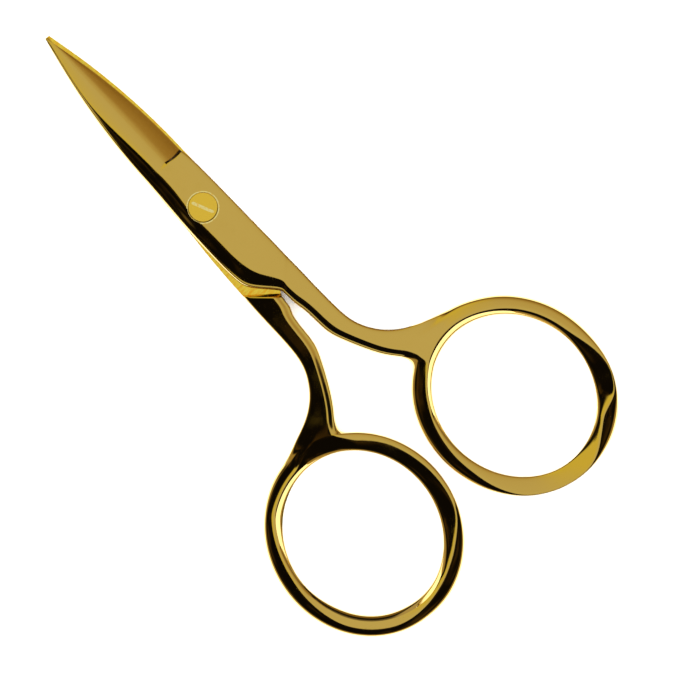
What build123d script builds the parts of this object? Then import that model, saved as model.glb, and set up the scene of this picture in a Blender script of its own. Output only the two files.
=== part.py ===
from build123d import *

import os

# Small embroidery scissors: two forged halves that cross at one slotted shoulder screw.
# Frame: Z is the pivot axis, the blades point along +Y, and Z = 0 is the flat underside.
# Both halves are one forging. The front half lies on top with its ring on the +X side, and
# the rear half is that forging turned over about the Y axis, with its ring on the -X side.

# Thickness, from the underside up
half_thickness = 1.70
mating_gap = 0.04
mating_level = half_thickness + mating_gap
full_thickness = 2 * half_thickness + mating_gap

# Blade: a curved cutting edge on the +X side and a curved spine on the -X side
tip = (-0.30, 34.3)
edge_middle = (2.40, 21.0)
edge_heel = (3.25, 8.5)
spine_middle = (-2.82, 21.0)
spine_heel = (-3.60, 8.0)
tip_thickness = 0.65
taper_start = 10.0

# Hollow grind: a trough along the cutting edge that stops in a square wall at the heel
grind_radius = 12.0
grind_inner_x = 0.15
grind_end = 8.4
edge_thickness = 0.25

# Lap, round the pivot, down to the step where the shank takes its full thickness
ricasso_corner = (3.65, 7.2)
lap_outer = (4.10, -8.0)
spine_at_pivot = (-3.90, 0.0)
lap_inner_corner = (-3.55, -12.7)
lap_foot = (0.50, -17.05)
stop_foot = (0.72, -20.1)
step_outer = (7.0, -10.8)
step_inner = (-3.0, -21.8)
inner_bevel = 0.55

# Shank, from the stop down to the ring
shank_inner = [stop_foot, (1.15, -22.2), (1.20, -26.0), (4.30, -32.7), (8.20, -38.9)]
shank_inner_radii = [1.5, 6.0, 25.0]
shank_outer_bend = (4.55, -31.8)
shank_outer_radius = 9.2
shank_outer_end = (18.6, -37.2)
shank_edge_radius = 0.95

# Finger ring: an oval that leans a little towards the pivot
ring_centre = (15.25, -51.75)
ring_radii = (14.3, 15.7)
hole_radii = (11.5, 12.85)
ring_lean = 8.0
ring_edge_radius = 1.25
ring_top = (13.3, -37.4)

# Pivot screw, and the bores that it sits in
head_diameter = 4.50
head_height = 0.88
head_edge = 0.14
counterbore_diameter = 4.90
counterbore_depth = 0.92
screw_play = 0.02
shoulder_diameter = 3.00
bore_diameter = 3.06
thread_diameter = 2.50
slot_width = 0.45
slot_length = 3.60
slot_depth = 0.45
slot_angle = 114.0

# Largest distance at which an edge counts as lying on a line
touching = 0.01


def edges_along(line, part):
    """The edges of the part's level faces that lie over a line drawn in plan."""
    chosen = []
    for edge in part.faces().filter_by(Axis.Z).edges():
        middle = edge.center()
        if line.distance_to(Vector(middle.X, middle.Y)) < touching:
            chosen.append(edge)
    return chosen


# Worked out from the dimensions above
tip_level = mating_level + tip_thickness
head_seat = full_thickness - counterbore_depth + screw_play

# The grinding wheel touches the flat at its inner edge and the heel of the cutting edge
blade_slope = Vector(0, tip[1] - taper_start, tip_level - full_thickness).normalized()
grind_plane = Plane(
    origin=(0, grind_end, full_thickness), x_dir=(1, 0, 0), z_dir=blade_slope
)
grind_start = Vector(grind_inner_x, 0)
grind_stop = Vector(edge_heel[0], half_thickness - edge_thickness)
grind_chord = grind_stop - grind_start
grind_rise = (grind_radius**2 - (grind_chord.length / 2) ** 2) ** 0.5
grind_normal = Vector(grind_chord.Y, -grind_chord.X).normalized()
grind_centre = (grind_start + grind_stop) / 2 + grind_normal * grind_rise

os.makedirs("parts", exist_ok=True)

# Finger ring of one half, rounded all over
with BuildPart() as ring:
    with BuildSketch():
        with Locations(ring_centre):
            Ellipse(*ring_radii, rotation=ring_lean)
            Ellipse(*hole_radii, rotation=ring_lean, mode=Mode.SUBTRACT)
    extrude(amount=full_thickness)
    fillet(ring.faces().filter_by(Axis.Z).edges(), radius=ring_edge_radius)

# Blade, lap and shank of one half, all from one plan outline
with BuildLine() as inner_side:
    ThreePointArc(tip, spine_middle, spine_heel)
    Line(spine_heel, spine_at_pivot)
    FilletPolyline(spine_at_pivot, lap_inner_corner, lap_foot, stop_foot, radius=[2.6, 2.0])
    FilletPolyline(shank_inner, radius=shank_inner_radii)

with BuildLine() as outer_side:
    FilletPolyline(lap_outer, shank_outer_bend, shank_outer_end, radius=shank_outer_radius)

with BuildPart() as blank:
    with BuildSketch():
        with BuildLine():
            add(inner_side.line)
            add(outer_side.line)
            ThreePointArc(tip, edge_middle, edge_heel)
            Polyline(edge_heel, ricasso_corner, lap_outer)
            ThreePointArc(shank_outer_end, ring_top, shank_inner[-1])
        make_face()
    extrude(amount=full_thickness)
    chamfer(edges_along(inner_side.line, blank), inner_bevel)
    fillet(edges_along(outer_side.line, blank), radius=shank_edge_radius)

    # The lap: nothing of this half is left below the mating face, down to the step
    with BuildSketch():
        Polygon(
            step_inner,
            step_outer,
            (step_outer[0], tip[1]),
            (-step_outer[0], tip[1]),
            (-step_outer[0], step_inner[1]),
            align=None,
        )
    extrude(amount=mating_level, mode=Mode.SUBTRACT)

    # The blade thins towards the tip
    with BuildSketch(Plane.YZ):
        Polygon(
            (taper_start, full_thickness),
            (tip[1], tip_level),
            (tip[1] + 1, tip_level),
            (tip[1] + 1, full_thickness),
            align=None,
        )
    extrude(amount=2 * edge_heel[0], both=True, mode=Mode.SUBTRACT)

    # The hollow grind: a wheel run along the blade, which leaves a thin cutting edge
    with BuildSketch(grind_plane):
        with Locations(grind_centre):
            Circle(grind_radius)
    extrude(amount=tip[1], mode=Mode.SUBTRACT)

with BuildPart() as half:
    add(blank.part)
    add(ring.part)

with BuildPart() as front_half:
    add(half.part)
    with Locations((0, 0, full_thickness)):
        CounterBoreHole(bore_diameter / 2, counterbore_diameter / 2, counterbore_depth)

with BuildPart() as rear_half:
    with Locations((0, 0, full_thickness)):
        add(half.part, rotation=(0, 180, 0))
    Hole(thread_diameter / 2)

# Pivot screw: thread in the rear half, shoulder through the front half, head in the counterbore
with BuildPart() as pivot_screw:
    with BuildSketch():
        Circle(thread_diameter / 2)
    extrude(amount=half_thickness)
    with BuildSketch(Plane.XY.offset(half_thickness)):
        Circle(shoulder_diameter / 2)
    extrude(amount=head_seat - half_thickness)
    with BuildSketch(Plane.XY.offset(head_seat)):
        Circle(head_diameter / 2)
    extrude(amount=head_height)
    top_face = pivot_screw.faces().sort_by(Axis.Z)[-1]
    fillet(top_face.edges(), radius=head_edge)
    with BuildSketch(Plane.XY.offset(head_seat + head_height)):
        SlotOverall(slot_length, slot_width, rotation=slot_angle)
    extrude(amount=-slot_depth, mode=Mode.SUBTRACT)

pieces = {"front_half": front_half, "rear_half": rear_half, "pivot_screw": pivot_screw}
for name, piece in pieces.items():
    piece.part.label = name
    export_step(piece.part, f"parts/{name}.step")
    print(name, round(piece.part.volume, 1), piece.part.bounding_box())
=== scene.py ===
import math

import bmesh
import bpy
import numpy as np
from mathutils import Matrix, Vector


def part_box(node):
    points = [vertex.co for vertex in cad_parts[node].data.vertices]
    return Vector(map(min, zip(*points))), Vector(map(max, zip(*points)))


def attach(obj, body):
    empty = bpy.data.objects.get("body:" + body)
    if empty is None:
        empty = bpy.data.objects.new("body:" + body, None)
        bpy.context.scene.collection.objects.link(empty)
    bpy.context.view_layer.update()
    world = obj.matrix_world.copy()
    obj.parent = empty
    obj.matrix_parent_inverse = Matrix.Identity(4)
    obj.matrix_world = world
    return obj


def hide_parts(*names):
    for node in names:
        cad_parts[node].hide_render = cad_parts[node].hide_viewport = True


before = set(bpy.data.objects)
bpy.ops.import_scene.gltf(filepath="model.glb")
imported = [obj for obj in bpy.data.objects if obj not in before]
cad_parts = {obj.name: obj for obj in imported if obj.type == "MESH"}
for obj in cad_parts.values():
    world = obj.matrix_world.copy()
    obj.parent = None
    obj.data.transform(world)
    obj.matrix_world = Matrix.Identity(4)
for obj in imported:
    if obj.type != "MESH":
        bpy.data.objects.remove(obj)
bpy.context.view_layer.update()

# Gold-coloured embroidery scissors. Lengths are in millimetres in the CAD frame until a mesh is
# made: Z is the pivot's axis, +Y points to the tips and the front half's ring is on the +X side.
MM = 0.001

# ---------------------------------------------------------------- sizes
full_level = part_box("front_half")[1].z / MM
screw_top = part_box("pivot_screw")[1].z / MM
mating_gap = 0.04
mating_level = (full_level + mating_gap) / 2
half_thickness = 1.70

blade_tip = (-0.30, 34.3)
edge_middle = (2.40, 21.0)
edge_heel = (3.25, 8.5)
spine_middle = (-2.82, 21.0)
spine_heel = (-3.60, 8.0)
tip_thickness = 0.62
taper_start = 10.0
outer_edge = 0.13

# The bevel on the inner side and the crest beside it, at the tip and how much more at the heel
tip_bevel, heel_bevel = 0.05, 0.45
tip_crest, heel_crest = 0.25, 1.40
lap_bevel = 0.50

# The hollow grind: where it starts across the blade, how much of the thickness it takes once it
# is as wide as the run, and the narrow rim along the cutting edge
hollow_start_x = 0.10
hollow_share = 0.66
hollow_run = 2.2
hollow_rim = 0.13

ring_centre = np.array([15.25, -51.75])
ring_radii = np.array([14.3, 15.7])
hole_radii = np.array([11.5, 12.85])
ring_lean = math.radians(8.0)

counterbore_radius = 2.45
counterbore_seat = 2.52
counterbore_lip = 0.012
bore_radius = 1.53
thread_radius = 1.25
thread_play = 0.02
thread_point = 0.20
shoulder_radius = 1.50
shoulder_start = 1.70
head_radius = 2.25
head_seat = 2.54
head_gap = 0.06
head_rim = 0.09
head_flat = 1.35
seat_bevel = 0.06
slot_size = (3.60, 0.45, 0.45)
slot_angle = math.radians(114.0)
beyond = 1.0

subdivisions = 3

# The two halves are one forging, but they were ground and polished by hand, so they differ a
# little. For each half there is:
#   stop         how far the stop at the step stands out on the inner side
#   inner_extra  how much fuller the shank's inner side is, down to the ring
#   outer_extra  how much fuller the outer side of the lap and the shank is round the step
#   bevel        how deep the bevel on the shank's inner side goes
#   edge         how deep the rounding on the shank's outer side goes
#   facet_lean   how much the shank's outer facet leans
#   sink         how far down the ring can be, past the place where the shank joins it
#   crisp        how wide the steep edge at the hole has to be for its foot to be sharp
#   lip          how far the ring stands into the hole at its far end
#   ring         places round the ring, each with its angle, how far out the crest is (0 at the
#                hole, 1 at the rim), the width and the pitch of the steep edge at the hole, the
#                lean of the inner and the outer facet, and how much wider than the forging the
#                ring is, with all the angles in degrees
front_grind = dict(
    stop=0.0,
    inner_extra=0.22,
    outer_extra=0.0,
    bevel=0.16,
    edge=0.13,
    facet_lean=math.radians(2.5),
    sink=0.15,
    crisp=0.40,
    lip=0.12,
    ring=[
        (2, 0.34, 0.30, 55, 10, 9, 0.0),
        (30, 0.33, 0.40, 55, 12, 9, 0.0),
        (60, 0.34, 0.65, 57, 8, 7, 0.12),
        (67, 0.35, 0.75, 58, 7, 6, 0.30),
        (77, 0.36, 0.80, 58, 6, 6, 0.50),
        (108, 0.36, 0.80, 58, 6, 6, 0.10),
        (118, 0.32, 0.70, 58, 6, 14, 0.20),
        (140, 0.28, 0.50, 57, 8, 14, 0.28),
        (165, 0.32, 0.30, 52, 8, 11, 0.12),
        (190, 0.44, 0.20, 45, 8, 10, 0.10),
        (205, 0.66, 0.20, 42, 7, 10, 0.15),
        (222, 0.92, 0.20, 42, 6, 12, 0.12),
        (255, 0.94, 0.20, 42, 6, 14, -0.05),
        (266, 0.92, 0.22, 42, 7, 14, -0.04),
        (275, 0.74, 0.24, 46, 8, 16, 0.02),
        (284, 0.50, 0.28, 54, 9, 16, 0.12),
        (294, 0.36, 0.30, 58, 10, 15, 0.24),
        (302, 0.32, 0.30, 60, 11, 15, 0.30),
        (312, 0.80, 0.26, 58, 12, 13, 0.30),
        (326, 0.92, 0.22, 52, 11, 12, 0.26),
        (336, 0.82, 0.22, 50, 10, 9, 0.16),
        (346, 0.60, 0.22, 50, 9, 9, 0.05),
        (354, 0.44, 0.25, 52, 9, 9, 0.0),
    ],
)
rear_grind = dict(
    stop=0.28,
    inner_extra=0.0,
    outer_extra=0.24,
    bevel=0.16,
    edge=0.19,
    facet_lean=math.radians(6.5),
    sink=0.90,
    crisp=0.44,
    lip=0.36,
    ring=[
        (2, 0.30, 0.32, 48, 9, 10, 0.0),
        (18, 0.34, 0.46, 56, 9, 11, 0.0),
        (42, 0.54, 1.10, 60, 8, 13, 0.0),
        (60, 0.42, 0.80, 58, 8, 16, 0.05),
        (77, 0.38, 0.60, 58, 6, 17, 0.10),
        (86, 0.62, 0.50, 57, 8, 16, 0.05),
        (95, 0.80, 0.40, 55, 8, 8, 0.0),
        (108, 0.80, 0.30, 50, 7, 6, 0.0),
        (120, 0.60, 0.30, 45, 5, 7, 0.0),
        (140, 0.68, 0.30, 42, 6, 8, 0.12),
        (162, 0.70, 0.30, 45, 7, 9, 0.25),
        (190, 0.78, 0.30, 50, 9, 9, 0.38),
        (199, 0.80, 0.30, 50, 10, 10, 0.38),
        (215, 0.50, 0.32, 50, 12, 10, 0.36),
        (232, 0.38, 0.45, 56, 12, 11, 0.30),
        (250, 0.38, 0.75, 60, 14, 12, 0.18),
        (264, 0.52, 0.85, 48, 7, 13, -0.04),
        (282, 0.68, 0.85, 37, 3, 15, -0.04),
        (322, 0.66, 0.85, 37, 3, 15, -0.01),
        (342, 0.46, 0.55, 36, 6, 12, 0.0),
    ],
)


# ---------------------------------------------------------------- small helpers
def smooth(low, high, value):
    """0 at low and 1 at high, with an easy curve between them."""
    t = np.clip((value - low) / (high - low), 0.0, 1.0)
    return t * t * (3 - 2 * t)


def circle_through(a, b, c):
    """Centre and radius of the circle through three plan points."""
    (ax, ay), (bx, by), (cx, cy) = a, b, c
    d = 2 * (ax * (by - cy) + bx * (cy - ay) + cx * (ay - by))
    a2, b2, c2 = ax * ax + ay * ay, bx * bx + by * by, cx * cx + cy * cy
    x = (a2 * (by - cy) + b2 * (cy - ay) + c2 * (ay - by)) / d
    y = (a2 * (cx - bx) + b2 * (ax - cx) + c2 * (bx - ax)) / d
    return x, y, math.hypot(ax - x, ay - y)


def arc_x(circle, y, side):
    """Where a circle's left (side -1) or right (side +1) flank is at height y."""
    x, centre_y, radius = circle
    return x + side * math.sqrt(radius**2 - (y - centre_y) ** 2)


def place(name, data):
    """Put a new object into the scene: a mesh, a lamp or a camera."""
    piece = bpy.data.objects.new(name, data)
    bpy.context.scene.collection.objects.link(piece)
    return piece


def mesh_from(cage, name):
    """Turn a bmesh into a named mesh with its faces outwards."""
    bmesh.ops.recalc_face_normals(cage, faces=cage.faces)
    mesh = bpy.data.meshes.new(name)
    cage.to_mesh(mesh)
    cage.free()
    return mesh


# ---------------------------------------------------------------- one forged half
# A half is a cage of loops from the tip to the ring, joined to a ring of loops round the finger
# hole, and the subdivision turns it into the smooth forging. Each station of the bar gives a
# point on the inner side (spine, lap, inner shank), a point on the outer side, and how far in
# from the inner side the crest between the bevel and the outer facet is.
COLUMNS = 10
HOLLOW_COLUMNS = range(5, 8)
END_WALL_COLUMNS = range(5, 9)
# The last material slot is for the hollow's end wall, painted near-black as shade
POLISHED, HOLLOW, GROUND, SHADED_WALL = range(4)

edge_circle = circle_through(blade_tip, edge_middle, edge_heel)
spine_circle = circle_through(blade_tip, spine_middle, spine_heel)

# Across the bar: the bevel's columns before the crest, which are closer together on a narrow bar,
# and the facet's or the hollow's columns after it. One more column runs close to the outer side.
bevel_places = (0.0, 0.18, 0.44)
bevel_drops = (0.42, -0.06, 0.07)
narrow_bar = 3
furthest_crest = 0.45
facet_places = np.array([0.14, 0.32, 0.52, 0.72])
hollow_places = np.array([0.10, 0.40, 0.70])
side_column = 0.20
side_drop = 0.01

# The hollow stops in a wall a little out of square, from the blade's last loops at its floor to
# the lap's first loops at its top. Each top column moves along the blade by its own amount.
floor_shift = np.array([0.0, 0.0, 0.0, 0.0, 0.0, 0.14, -0.04, 0.02, 0.14, 0.14])
floor_shares = {9.6: 0.35, 8.56: 1.0}
wall_shift = np.array([0.0, 0.0, 0.0, 0.0, 0.0, 0.36, 0.04, 0.0, 0.10, 0.10])
wall_shares = {8.15: 1.0, 7.75: 0.6}


def blade_level(y):
    """The height of the blade's outer face at this place along it."""
    share = np.clip((y - taper_start) / (blade_tip[1] - taper_start), 0.0, 1.0)
    return full_level - share * (full_level - mating_level - tip_thickness)


def bar_loop(inner, outer, crest, bevel, lean=0.0, edge=outer_edge, face="flat", full=False, shift=0.0):
    """One closed loop of the bar: top columns, outer wall, bottom columns, inner wall.

    The face after the crest is flat, or hollow, or flat with its columns aligned to the
    hollow's. A full loop is as deep below as above, and the others end at the mating level.
    """
    inner, outer = np.array(inner), np.array(outer)
    across = outer - inner
    width = np.linalg.norm(across)
    top = blade_level((inner[1] + outer[1]) / 2)
    thickness = top - mating_level
    shallow = min(1.0, thickness / half_thickness)
    crest = min(crest, furthest_crest * width)
    corner = bevel * shallow
    ledge = min(1.0, width / narrow_bar)
    bevel_s = [share * ledge for share in bevel_places]
    bevel_drop = [corner + drop * shallow for drop in bevel_drops]

    run = width + inner[0] - hollow_start_x
    if face == "flat":
        facet_s = crest + (width - crest) * facet_places
    else:
        hollow_s = width - run + hollow_places * run
        facet_s = np.array([crest + facet_places[0] * (width - crest), *hollow_s])
    if face == "hollow":
        # It deepens a little faster towards the cutting edge, then turns down over the rim
        deep = hollow_share * thickness * min(1.0, run / hollow_run)
        curve = 0.72 * hollow_places + 0.28 * hollow_places * hollow_places
        facet_drop = np.array([0.0, *(deep * curve)])
        rim = min(hollow_rim, 0.25 * run)
        end_s = [width - rim, width]
        end_drop = [deep, deep + 0.4 * rim]
    else:
        fall = np.tan(lean) * (width - crest)
        facet_drop = np.tan(lean) * (facet_s - crest)
        end_s = [width - side_column, width]
        end_drop = [fall + side_drop, fall + edge]

    s = np.array([*bevel_s, crest, *facet_s, *end_s])
    top_z = top - np.array([*bevel_drop, 0.0, *facet_drop, *end_drop])
    if full:
        bottom_z = full_level - top_z
    else:
        bottom_z = np.full(COLUMNS, mating_level)
    points = inner + np.outer(s / width, across)
    points[:, 1] += shift
    loop = [(*points[k], top_z[k]) for k in range(COLUMNS)]
    loop.append((*points[-1], (top_z[-1] + bottom_z[-1]) / 2))
    loop += [(*points[k], bottom_z[k]) for k in reversed(range(COLUMNS))]
    loop.append((*points[0], (top_z[0] + bottom_z[0]) / 2))
    return loop


def blade_loops():
    """From the tip down to the floor of the hollow's end wall."""
    loops = []
    stations = [34.28, 34.1, 33.5, 32.0, 30.0, 27.5, 25.0, 22.5, 20.0, 17.5, 15.0, 12.5, 10.8]
    for y in [*stations, *floor_shares]:
        blunt = 0.05 * smooth(32, blade_tip[1], y)
        inner = (arc_x(spine_circle, y, -1) - blunt, y)
        outer = (arc_x(edge_circle, y, 1) + blunt, y)
        broad = 1 - smooth(9, 25, y)
        crest = tip_crest + heel_crest * broad
        bevel = tip_bevel + heel_bevel * broad
        shift = floor_shares.get(y, 0.0) * floor_shift
        loops.append(bar_loop(inner, outer, crest, bevel, face="hollow", shift=shift))
    return loops


def lap_loops(grind):
    """The ricasso and the lap: the cross lines swing round to lie along the step."""
    stations = [
        ((-3.60, 8.15), (3.34, 8.15), 1.65),
        ((-3.62, 7.75), (3.46, 7.75), 1.70),
        ((-3.66, 6.0), (3.68, 6.0), 1.80),
        ((-3.76, 3.2), (3.80, 3.2), 1.72),
        ((-3.86, 0.6), (3.89, 0.6), 1.40),
        ((-3.90, -2.0), (3.97, -1.7), 1.58),
        ((-3.90, -5.5), (4.04, -4.8), 1.80),
        ((-3.84, -8.6), (4.11, -7.2), 1.85),
        ((-3.70, -10.8), (4.16, -8.8), 2.05),
        ((-3.50, -12.3), (4.20, -9.9), 2.30),
        ((-2.95, -13.40), (4.22, -10.7), 2.20),
        ((-2.05, -14.45), (4.24, -11.5), 1.95),
        ((-1.05, -15.5), (4.25, -12.2), 1.70),
        ((-0.15, -16.45), (4.26, -12.9), 1.45),
        ((0.38, -17.2), (4.27, -13.5), 1.30),
    ]
    loops = []
    for inner, outer, crest in stations:
        share = wall_shares.get(inner[1], 0.0)
        face = "aligned" if share else "flat"
        outer = (outer[0] + grind["outer_extra"] * smooth(-2, -6, outer[1]), outer[1])
        inner = (inner[0] - grind["stop"] * smooth(-14.5, -16.3, inner[1]), inner[1])
        down = smooth(0, -17, outer[1])
        lean = grind["facet_lean"] * down
        bevel = lap_bevel * (1 - down) + grind["bevel"] * down
        loops.append(bar_loop(inner, outer, crest, bevel, lean, face=face, shift=share * wall_shift))
    return loops


def shank_loops(grind):
    """From the step down to the ring."""
    stations = [
        ((0.52, -17.85), (4.29, -13.85), 1.25),
        ((0.60, -18.70), (4.33, -15.0), 1.20),
        ((0.66, -19.70), (4.37, -16.6), 1.15),
        ((0.84, -20.60), (4.40, -18.4), 1.12),
        ((1.04, -21.70), (4.44, -20.2), 1.10),
        ((1.14, -23.20), (4.50, -22.2), 1.10),
        ((1.22, -25.10), (4.60, -24.4), 1.10),
        ((1.48, -26.70), (4.80, -26.4), 1.10),
        ((2.15, -28.35), (5.25, -28.0), 1.10),
        ((3.05, -30.30), (5.98, -29.45), 1.05),
        ((4.05, -32.30), (7.00, -30.95), 1.00),
        ((5.00, -33.95), (8.42, -32.35), 0.95),
        ((5.85, -35.20), (10.10, -33.45), 0.92),
        ((6.45, -35.95), (11.90, -34.25), 0.92),
        ((6.80, -36.40), (13.20, -34.72), 0.92),
    ]
    bevel, lean, edge = grind["bevel"], grind["facet_lean"], grind["edge"]
    loops = []
    for inner, outer, crest in stations:
        jut = grind["stop"] * smooth(-20.5, -19.9, inner[1])
        jut += grind["inner_extra"] * smooth(-36.5, -33.5, inner[1])
        inner = (inner[0] - jut, inner[1])
        outer = (outer[0] + grind["outer_extra"] * smooth(-26, -16, outer[1]), outer[1])
        loops.append(bar_loop(inner, outer, crest, bevel, lean, edge=edge, full=True))
    return loops


# A ring loop starts halfway down the hole's wall, goes over the top to the middle of the rim and
# comes back underneath. The steep edge at the hole has a ledge in it, and the foot is its end.
RING_FOOT, RING_SHOULDER, RING_RIM = 3, 7, 8
ledge_place, ledge_share, ledge_round = 0.30, 0.70, 0.02
crest_room = 0.12
ring_facet_places = (0.38, 0.80)
shoulder_column = 0.06
ring_corner = 0.24

# Angles round the ring, in degrees: the notch and the loops where the shank joins, the middle of
# the lip, from where to where the lip fades, and between which two the sunk stretch climbs back
notch = 113.0
join_steps = np.array([0.0, 1.3, 2.7, 4.3, 8.5, 14.0, 20.0, 26.0, 31.5, 36.0])
free_loops = 46
lip_middle = 302
lip_fade = (60, 20)
climb = (-20, 80)
sink_start_x = 8.0

# Where the shank joins, the ring's outer side rises to meet it, from each end of the join
join_corners = [0.30, 0.14, 0.05, 0.0, 0.0]
join_falls = [1.0, 0.7, 0.3, 0.0, 0.0]


def ring_loops(grind):
    """Loops round the finger hole, starting at the notch and going over the top of the ring."""
    join = notch - join_steps
    around = np.linspace(join[-1], notch - 360, free_loops + 2)[1:-1]
    turn = np.array(
        [
            [math.cos(ring_lean), -math.sin(ring_lean)],
            [math.sin(ring_lean), math.cos(ring_lean)],
        ]
    )
    half = full_level / 2
    angles, *columns = np.array(grind["ring"], dtype=float).T
    loops = []
    for number, degrees in enumerate([*join, *around]):
        crest, steep, pitch, inward, outward, extra = (
            np.interp(degrees % 360, angles, column, period=360) for column in columns
        )
        pitch, inward, outward = (math.tan(math.radians(a)) for a in (pitch, inward, outward))
        angle = math.radians(degrees)
        unit = np.array([math.cos(angle), math.sin(angle)])
        lip = grind["lip"] * smooth(*lip_fade, abs(degrees % 360 - lip_middle))
        hole = ring_centre + turn @ ((hole_radii - lip) * unit)
        rim = ring_centre + turn @ ((ring_radii + extra) * unit)
        width = np.linalg.norm(rim - hole)
        crest = max(crest * width, steep + crest_room)
        foot = (crest - steep) * inward
        ledge = foot + ledge_share * pitch * steep
        fall = outward * (width - crest)
        corner = ring_corner
        if number < len(join):
            from_end = min(number, len(join) - 1 - number)
            corner = join_corners[from_end]
            fall *= join_falls[from_end]
        s = [0.0, 0.0, ledge_place * steep, steep, crest]
        s += [crest + share * (width - crest) for share in ring_facet_places]
        s += [width - shoulder_column, width]
        drop = [half, ledge + ledge_round, ledge, foot, 0.0]
        drop += [share * fall for share in ring_facet_places]
        drop += [fall + corner, half]
        points = hole + np.outer(np.array(s) / width, rim - hole)
        # The junction slopes down away from the notch, and the ring climbs back past the top
        slope = np.maximum(0.0, points[:, 0] - sink_start_x) * math.tan(grind["facet_lean"])
        sink = grind["sink"] * np.tanh(slope / grind["sink"]) * smooth(*climb, degrees)
        level = np.clip(np.array(drop) + sink, 0.0, half)
        level[[0, RING_RIM]] = half
        top = [(*points[k], full_level - level[k]) for k in range(RING_RIM + 1)]
        bottom = [(*points[k], level[k]) for k in range(RING_SHOULDER, 0, -1)]
        loops.append(top + bottom)
    return loops


def add_bar_faces(cage, bar, blade_count, layered):
    """Skin the bar's loops and close the tip. Up to layered, they end at the mating level."""
    size = len(bar[0])
    for i in range(len(bar) - 1):
        for k in range(size):
            n = (k + 1) % size
            face = cage.faces.new((bar[i][k], bar[i][n], bar[i + 1][n], bar[i + 1][k]))
            if i < layered and COLUMNS < k < 2 * COLUMNS:
                face.material_index = GROUND
            elif i < blade_count - 1 and k in HOLLOW_COLUMNS:
                face.material_index = HOLLOW
            # The hollow's end wall takes the material painted near-black as shade
            elif i == blade_count - 1 and k in END_WALL_COLUMNS:
                face.material_index = SHADED_WALL

    # The tip is closed by a strip of quads across its first loop
    first = bar[0]
    over = [first[-1]] + first[:COLUMNS] + [first[COLUMNS]]
    under = [first[-1]] + first[2 * COLUMNS : COLUMNS : -1] + [first[COLUMNS]]
    for k in range(COLUMNS + 1):
        corners = [over[k], under[k], under[k + 1], over[k + 1]]
        cage.faces.new(list(dict.fromkeys(corners)))


def add_ring_faces(cage, ring, last):
    """Skin the ring's loops and join the shank's last loop to the opening in its outer side."""
    rows = len(ring[0])
    below = rows - RING_SHOULDER
    for i in range(len(ring)):
        here, after = ring[i], ring[(i + 1) % len(ring)]
        for k in range(rows):
            n = (k + 1) % rows
            if i >= COLUMNS - 1 or k not in (RING_SHOULDER, RING_RIM):
                cage.faces.new((here[k], after[k], after[n], here[n]))

    mouth = [ring[i][RING_SHOULDER] for i in range(COLUMNS)]
    mouth.append(ring[COLUMNS - 1][RING_RIM])
    mouth += [ring[i][below] for i in reversed(range(COLUMNS))]
    mouth.append(ring[0][RING_RIM])
    for k in range(len(last)):
        n = (k + 1) % len(last)
        cage.faces.new((last[k], last[n], mouth[n], mouth[k]))
    unused = [ring[i][RING_RIM] for i in range(1, COLUMNS - 1)]
    bmesh.ops.delete(cage, geom=unused, context="VERTS")


def half_cage(grind):
    """The cage of one half as a bmesh, in millimetres, in the front half's place."""
    cage = bmesh.new()
    crease = cage.edges.layers.float.new("crease_edge")
    blade, lap = blade_loops(), lap_loops(grind)
    blade_count = len(blade)
    layered = blade_count + len(lap)
    bar = [[cage.verts.new(p) for p in loop] for loop in blade + lap + shank_loops(grind)]
    add_bar_faces(cage, bar, blade_count, layered)

    ring_points = ring_loops(grind)
    ring = [[cage.verts.new(p) for p in loop] for loop in ring_points]
    add_ring_faces(cage, ring, bar[-1])

    def sharpen(a, b, amount=1.0):
        """Keep the edge between two points of the cage from being rounded off."""
        edge = cage.edges.get((a, b))
        edge[crease] = amount

    # The foot of the ring's steep edge is sharp where that edge is wide
    steep = [math.dist(loop[RING_FOOT][:2], loop[1][:2]) for loop in ring_points]
    foot_below = len(ring[0]) - RING_FOOT
    for i in range(len(ring)):
        n = (i + 1) % len(ring)
        if min(steep[i], steep[n]) > grind["crisp"]:
            sharpen(ring[i][RING_FOOT], ring[n][RING_FOOT])
            sharpen(ring[i][foot_below], ring[n][foot_below])

    # So are the mating face's outline, the outer edge, the step and the hollow's end wall
    for i in range(layered - 1):
        sharpen(bar[i][COLUMNS + 1], bar[i + 1][COLUMNS + 1])
        sharpen(bar[i][2 * COLUMNS], bar[i + 1][2 * COLUMNS])
    for i in range(len(bar) - 2):
        sharpen(bar[i][COLUMNS - 1], bar[i + 1][COLUMNS - 1])
    for k in range(COLUMNS + 1, 2 * COLUMNS):
        sharpen(bar[layered - 1][k], bar[layered - 1][k + 1])
        sharpen(bar[layered][k], bar[layered][k + 1], 0.7)
    for k in END_WALL_COLUMNS:
        sharpen(bar[blade_count - 1][k], bar[blade_count - 1][k + 1], 0.8)
        sharpen(bar[blade_count][k], bar[blade_count][k + 1], 0.9)
    bmesh.ops.recalc_face_normals(cage, faces=cage.faces)
    return cage


# ---------------------------------------------------------------- turned shapes and cuts
def turned_mesh(name, profile, around=96):
    """A mesh turned round the pivot's axis from (radius, height) points, the first and last on it."""
    cage = bmesh.new()
    rings = []
    for radius, height in profile:
        ring = []
        for k in range(around if radius else 1):
            angle = 2 * math.pi * k / around
            spot = (radius * MM * math.cos(angle), radius * MM * math.sin(angle), height * MM)
            ring.append(cage.verts.new(spot))
        rings.append(ring)
    for low, high in zip(rings, rings[1:]):
        for k in range(around):
            n = (k + 1) % around
            corners = [low[k % len(low)], low[n % len(low)], high[n % len(high)], high[k % len(high)]]
            cage.faces.new(list(dict.fromkeys(corners)))
    return mesh_from(cage, name)


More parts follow.
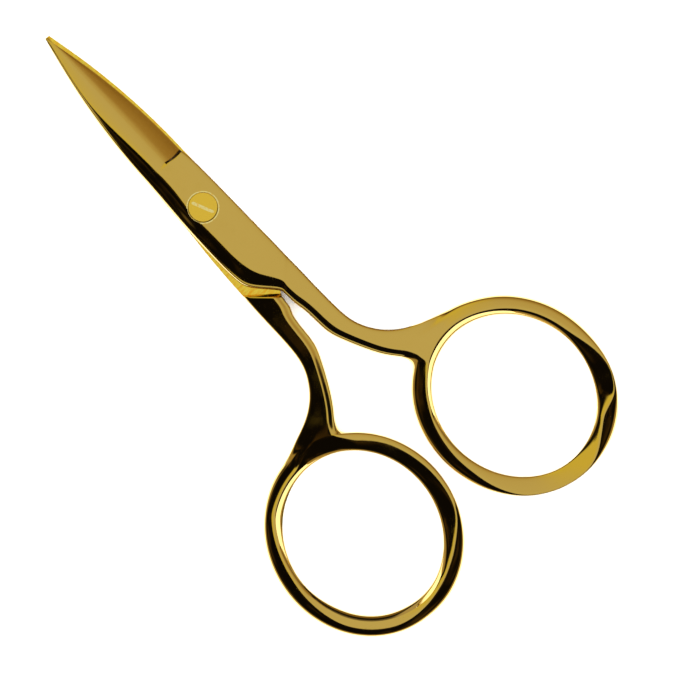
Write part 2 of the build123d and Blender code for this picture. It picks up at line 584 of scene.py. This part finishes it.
def slot_mesh(name):
    """The tool that cuts the driver slot: a flat bar with round ends."""
    length, width, depth = slot_size
    cos, sin = math.cos(slot_angle), math.sin(slot_angle)
    end_steps = 8
    outline = []
    for centre, start in ((length - width) / 2, -90), (-(length - width) / 2, 90):
        for step in range(end_steps + 1):
            angle = math.radians(start + 180 / end_steps * step)
            x, y = centre + width / 2 * math.cos(angle), width / 2 * math.sin(angle)
            outline.append((x * cos - y * sin, x * sin + y * cos))
    cage = bmesh.new()
    low, high = screw_top - depth, screw_top + beyond
    bottom = [cage.verts.new((x * MM, y * MM, low * MM)) for x, y in outline]
    top = [cage.verts.new((x * MM, y * MM, high * MM)) for x, y in outline]
    cage.faces.new(bottom)
    cage.faces.new(top)
    for k in range(len(outline)):
        n = (k + 1) % len(outline)
        cage.faces.new((bottom[k], bottom[n], top[n], top[k]))
    return mesh_from(cage, name)


def settle(piece, tool, sharp=32):
    """Cut the tool out of the piece, make its modifiers real and keep its true edges sharp."""
    cut = piece.modifiers.new("cut", "BOOLEAN")
    cut.operation = "DIFFERENCE"
    cut.solver = "EXACT"
    cut.material_mode = "TRANSFER"
    cut.object = tool
    graph = bpy.context.evaluated_depsgraph_get()
    mesh = bpy.data.meshes.new_from_object(piece.evaluated_get(graph))
    piece.modifiers.clear()
    old = piece.data
    piece.data = mesh
    mesh.name = old.name
    bpy.data.meshes.remove(old)
    bpy.data.objects.remove(tool)
    for polygon in mesh.polygons:
        polygon.use_smooth = True
    mesh.set_sharp_from_angle(angle=math.radians(sharp))


# ---------------------------------------------------------------- the three pieces
def half_piece(name, grind, turned, materials, tool):
    """One finished half. turned puts it in the rear half's place, upside down."""
    cage = half_cage(grind)
    for v in cage.verts:
        x, y, z = v.co
        v.co = Vector((-x, y, full_level - z) if turned else (x, y, z)) * MM
    piece = place(name, mesh_from(cage, name))
    for material in materials:
        piece.data.materials.append(material)
    smoothing = piece.modifiers.new("forging", "SUBSURF")
    smoothing.levels = smoothing.render_levels = subdivisions
    settle(piece, tool)
    return piece


def front_half(materials, highlight):
    """The half on top, with the bore, the counterbore and a thin lip round the screw's head."""
    lip_radius = head_radius + head_gap
    wall_radius = counterbore_radius + 0.01
    profile = [
        (0, -beyond),
        (bore_radius, -beyond),
        (bore_radius, counterbore_seat),
        (lip_radius, counterbore_seat),
        (lip_radius, full_level - counterbore_lip),
        (counterbore_radius, full_level - counterbore_lip),
        (wall_radius, full_level + 0.2),
        (wall_radius, full_level + beyond),
        (0, full_level + beyond),
    ]
    tool = place("counterbore", turned_mesh("counterbore", profile))
    # The counterbore's cut faces and the lip take the pale painted highlight
    tool.data.materials.append(highlight)
    return half_piece("front_half_forging", front_grind, False, materials, tool)


def rear_half(materials):
    """The half underneath, with the hole that the screw is driven into."""
    profile = [(0, -beyond), (thread_radius, -beyond), (thread_radius, full_level), (0, full_level)]
    tool = place("thread_hole", turned_mesh("thread_hole", profile))
    tool.data.materials.append(materials[GROUND])
    return half_piece("rear_half_forging", rear_grind, True, materials, tool)


def pivot_screw(satin, highlight):
    """Thread, shoulder and a head with a rounded rim, with the driver slot cut into it."""
    thread = thread_radius - thread_play
    profile = [
        (0, 0),
        (thread - thread_point, 0),
        (thread, thread_point),
        (thread, shoulder_start - thread_play),
        (shoulder_radius, shoulder_start),
        (shoulder_radius, head_seat),
        (head_radius - seat_bevel, head_seat),
        (head_radius, head_seat + seat_bevel),
    ]
    for degrees in (0, 30, 60, 90):
        bend = math.radians(degrees)
        radius = head_radius - head_rim + head_rim * math.cos(bend)
        profile.append((radius, screw_top - head_rim + head_rim * math.sin(bend)))
    profile += [(head_radius - 2 * head_rim, screw_top), (head_flat, screw_top), (0, screw_top)]
    piece = place("pivot_screw_turned", turned_mesh("pivot_screw_turned", profile))
    piece.data.materials.append(satin)
    tool = place("slot", slot_mesh("slot"))
    # The slot takes the pale painted highlight
    tool.data.materials.append(highlight)
    settle(piece, tool)
    return piece


# ---------------------------------------------------------------- materials
class Metal:
    """A gold-plated surface that procedural nodes can be added to."""

    def __init__(self, name, color, roughness):
        self.material = bpy.data.materials.new(name)
        self.material.use_nodes = True
        self.tree = self.material.node_tree
        self.shader = self.tree.nodes["Principled BSDF"]
        self.shader.inputs["Base Color"].default_value = (*color, 1)
        self.shader.inputs["Metallic"].default_value = 1.0
        self.shader.inputs["Roughness"].default_value = roughness
        self.place = self.tree.nodes.new("ShaderNodeTexCoord").outputs["Object"]
        self.normal = None

    def noise(self, scale, detail=2.0, stretch=(1, 1, 1)):
        """Smooth random numbers over the piece, drawn out along an axis where stretch is small."""
        mapping = self.tree.nodes.new("ShaderNodeMapping")
        mapping.inputs["Scale"].default_value = stretch
        texture = self.tree.nodes.new("ShaderNodeTexNoise")
        texture.inputs["Scale"].default_value = scale
        texture.inputs["Detail"].default_value = detail
        self.tree.links.new(self.place, mapping.inputs["Vector"])
        self.tree.links.new(mapping.outputs["Vector"], texture.inputs["Vector"])
        return texture.outputs["Fac"]

    def relief(self, height, depth):
        """Add bumps of this depth, in millimetres, on top of those already there."""
        bump = self.tree.nodes.new("ShaderNodeBump")
        bump.inputs["Distance"].default_value = depth * MM
        self.tree.links.new(height, bump.inputs["Height"])
        if self.normal is not None:
            self.tree.links.new(self.normal, bump.inputs["Normal"])
        self.normal = bump.outputs["Normal"]
        self.tree.links.new(self.normal, self.shader.inputs["Normal"])

    def vary(self, value, low, high, smoothest, roughest):
        """Let the roughness wander between two values."""
        node = self.tree.nodes.new("ShaderNodeMapRange")
        node.inputs["From Min"].default_value = low
        node.inputs["From Max"].default_value = high
        node.inputs["To Min"].default_value = smoothest
        node.inputs["To Max"].default_value = roughest
        self.tree.links.new(value, node.inputs["Value"])
        self.tree.links.new(node.outputs["Result"], self.shader.inputs["Roughness"])

    def blotches(self, value, low, high, color_low, color_high):
        """Let the colour wander between two colours."""
        ramp = self.tree.nodes.new("ShaderNodeValToRGB")
        ramp.color_ramp.elements[0].position = low
        ramp.color_ramp.elements[0].color = (*color_low, 1)
        ramp.color_ramp.elements[1].position = high
        ramp.color_ramp.elements[1].color = (*color_high, 1)
        self.tree.links.new(value, ramp.inputs["Fac"])
        self.tree.links.new(ramp.outputs["Color"], self.shader.inputs["Base Color"])


def polished_gold():
    """The outside, with faint waves and polishing lines."""
    metal = Metal("polished_gold", (0.73, 0.55, 0.195), 0.05)
    metal.vary(metal.noise(420, 5.0), 0.45, 0.70, 0.035, 0.11)
    metal.relief(metal.noise(170), 0.012)
    metal.relief(metal.noise(1100, 3.0), 0.0016)
    metal.relief(metal.noise(2600, 2.0, (6, 0.4, 1)), 0.0005)
    return metal.material


def hollow_gold():
    """The hollow grind, with fine scratches across the blade."""
    metal = Metal("hollow_ground_gold", (0.73, 0.535, 0.18), 0.20)
    metal.relief(metal.noise(900, 3.0, (6, 1, 1)), 0.003)
    return metal.material


def end_wall_painted_shade():
    """The hollow's end wall: unpolished, and painted near-black for the shade that falls in that recess."""
    metal = Metal("end_wall_painted_shade", (0.07, 0.045, 0.018), 0.35)
    grain = metal.noise(2200, 4.0)
    metal.blotches(grain, 0.40, 0.65, (0.03, 0.018, 0.008), (0.11, 0.07, 0.025))
    metal.relief(grain, 0.004)
    return metal.material


def ground_gold():
    """The faces that lie against each other are left as they came off the wheel."""
    metal = Metal("ground_gold", (1.0, 0.80, 0.12), 0.11)
    grain = metal.noise(1300, 6.0, (0.8, 3.2, 1))
    metal.blotches(grain, 0.34, 0.60, (0.98, 0.56, 0.05), (1.0, 0.85, 0.17))
    metal.relief(grain, 0.006)
    return metal.material


def satin_gold():
    """The screw."""
    metal = Metal("satin_gold", (0.95, 0.71, 0.13), 0.12)
    metal.relief(metal.noise(2500, 4.0), 0.002)
    return metal.material


def painted_highlight_gold():
    """The slot and the lip round the screw's head, in mottled pale gold: a painted highlight that keeps
    these cuts bright.
    """
    metal = Metal("painted_highlight_gold", (1.0, 0.9, 0.5), 0.10)
    metal.blotches(metal.noise(3200, 4.0), 0.32, 0.50, (1.0, 0.68, 0.18), (1.0, 0.96, 0.64))
    return metal.material


# ---------------------------------------------------------------- stage
# The scissors lie slanting across the picture, and these are its right and its top in the frame
view_turn = math.radians(-42.5)
picture_right = (0.737, -0.676, 0.0)
picture_up = (0.676, 0.737, 0.0)


def make_camera():
    """Straight down on the scissors, from far enough away to be almost without perspective."""
    aim = Vector((1.8 * MM, -30.3 * MM, full_level * MM))
    distance, view_width = 1.5, 103.7 * MM
    data = bpy.data.cameras.new("camera")
    data.lens = data.sensor_width * distance / view_width
    camera = place("camera", data)
    camera.location = aim + Vector((0, 0, distance))
    camera.rotation_euler = (0, 0, view_turn)
    bpy.context.scene.camera = camera


def make_floor():
    """A sheet of white paper just under the scissors."""
    half = 2.0
    mesh = bpy.data.meshes.new("floor")
    corners = [(-half, -half, 0), (half, -half, 0), (half, half, 0), (-half, half, 0)]
    mesh.from_pydata(corners, [], [(0, 1, 2, 3)])
    floor = place("floor", mesh)
    floor.location.z = -0.05 * MM
    material = bpy.data.materials.new("paper_white")
    material.use_nodes = True
    shader = material.node_tree.nodes["Principled BSDF"]
    shader.inputs["Base Color"].default_value = (0.93, 0.93, 0.93, 1)
    shader.inputs["Roughness"].default_value = 0.9
    shader.inputs["Specular IOR Level"].default_value = 0.0
    mesh.materials.append(material)


def make_lamp():
    """A soft box over the table. It lights the paper and isn't itself seen in the gold."""
    data = bpy.data.lights.new("softbox", "AREA")
    data.shape = "SQUARE"
    data.size = 1.4
    data.energy = 40.0
    lamp = place("softbox", data)
    lamp.location = (0.0, 0.0, 1.2)
    lamp.visible_glossy = False
    lamp.visible_camera = False


class Studio:
    """The world's nodes: numbers and colours that depend on the direction looked in."""

    def __init__(self):
        world = bpy.data.worlds.new("studio")
        world.use_nodes = True
        bpy.context.scene.world = world
        self.nodes, self.links = world.node_tree.nodes, world.node_tree.links
        self.nodes.clear()
        self.direction = self.nodes.new("ShaderNodeTexCoord").outputs["Generated"]

    def feed(self, socket, value):
        """Set a socket to a number or a colour, or link another node's output to it."""
        if isinstance(value, tuple):
            socket.default_value = (*value, 1)
        elif isinstance(value, float):
            socket.default_value = value
        else:
            self.links.new(value, socket)

    def calculate(self, operation, *values):
        """The result of a sum, a product or the like."""
        node = self.nodes.new("ShaderNodeMath")
        node.operation = operation
        for socket, value in zip(node.inputs, values):
            self.feed(socket, value)
        return node.outputs[0]

    def along(self, axis):
        """How far the direction points along an axis, from -1 to 1."""
        node = self.nodes.new("ShaderNodeVectorMath")
        node.operation = "DOT_PRODUCT"
        self.links.new(self.direction, node.inputs[0])
        node.inputs[1].default_value = axis
        return node.outputs["Value"]

    def edge(self, value, low, high):
        """A soft edge: 0 at low and 1 at high."""
        node = self.nodes.new("ShaderNodeMapRange")
        node.interpolation_type = "SMOOTHSTEP"
        node.inputs["From Min"].default_value = low
        node.inputs["From Max"].default_value = high
        self.links.new(value, node.inputs["Value"])
        return node.outputs["Result"]

    def blend(self, factor, a, b):
        """Colour a where the factor is 0, and b where it is 1."""
        node = self.nodes.new("ShaderNodeMix")
        node.data_type = "RGBA"
        for socket, value in zip(("Factor", "A", "B"), (factor, a, b)):
            self.feed(node.inputs[socket], value)
        return node.outputs["Result"]

    def shades(self, value, stops):
        """A colour ramp with a (position, colour) at each stop."""
        ramp = self.nodes.new("ShaderNodeValToRGB")
        while len(ramp.color_ramp.elements) < len(stops):
            ramp.color_ramp.elements.new(0.5)
        for element, (position, color) in zip(ramp.color_ramp.elements, stops):
            element.position = position
            element.color = (*color, 1)
        self.links.new(value, ramp.inputs["Fac"])
        return ramp.outputs["Color"]

    def mottle(self, scale, detail):
        """Smooth random numbers over the whole sky."""
        texture = self.nodes.new("ShaderNodeTexNoise")
        texture.inputs["Scale"].default_value = scale
        texture.inputs["Detail"].default_value = detail
        self.links.new(self.direction, texture.inputs["Vector"])
        return texture.outputs["Fac"]

    def show(self, color):
        """Let the world give off this colour."""
        background = self.nodes.new("ShaderNodeBackground")
        self.links.new(color, background.inputs["Color"])
        output = self.nodes.new("ShaderNodeOutputWorld")
        self.links.new(background.outputs["Background"], output.inputs["Surface"])


def make_world():
    """A pale ceiling card that ends a little past overhead, and a dark room beyond it."""
    studio = Studio()
    right = studio.along(picture_right)
    up = studio.along(picture_up)
    height = studio.along((0.0, 0.0, 1.0))

    # The card narrows downwards in the picture like a wedge, and stops short on the left
    sideways = studio.calculate("MULTIPLY", studio.calculate("ABSOLUTE", right), 0.6)
    inside = studio.calculate("SUBTRACT", up, sideways)
    card = studio.calculate("MULTIPLY", studio.edge(inside, -0.13, -0.09), studio.edge(right, -0.40, -0.30))
    card_stops = [
        (0.40, (0.008, 0.005, 0.004)),
        (0.50, (0.20, 0.13, 0.04)),
        (0.62, (0.35, 0.21, 0.051)),
        (0.82, (0.44, 0.295, 0.10)),
        (0.93, (0.61, 0.505, 0.25)),
        (1.00, (0.69, 0.62, 0.365)),
    ]
    ceiling = studio.shades(height, card_stops)
    warm = studio.calculate("MULTIPLY", studio.edge(right, 0.0, -0.15), studio.edge(height, 0.70, 0.90))
    ceiling = studio.blend(warm, ceiling, (0.77, 0.66, 0.15))

    # The room is almost black overhead, and warmer where light bounces off things lower down
    clutter = studio.edge(studio.mottle(5.0, 4.0), 0.50, 0.75)
    room = studio.blend(clutter, (0.005, 0.004, 0.003), (0.07, 0.04, 0.011))
    bounce = studio.calculate("MULTIPLY", studio.edge(height, 0.72, 0.56), studio.edge(up, 0.50, 0.38))
    room = studio.blend(bounce, room, (0.42, 0.30, 0.12))

    # A glow from the white table runs all the way round near the horizon
    table = studio.edge(height, 0.34, 0.25)
    studio.show(studio.blend(table, studio.blend(card, room, ceiling), (0.54, 0.44, 0.27)))


make_camera()
make_floor()
make_lamp()
make_world()
bpy.context.scene.view_settings.view_transform = "Standard"

# Pale painted highlight for the slot and the counterbore's lip
highlight = painted_highlight_gold()
forging_materials = [polished_gold(), hollow_gold(), ground_gold(), end_wall_painted_shade()]
pieces = {
    "front_half": ("front", front_half(forging_materials, highlight)),
    "rear_half": ("rear", rear_half(forging_materials)),
    "pivot_screw": ("rear", pivot_screw(satin_gold(), highlight)),
}
for name, (body, piece) in pieces.items():
    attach(piece, body)
    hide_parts(name)
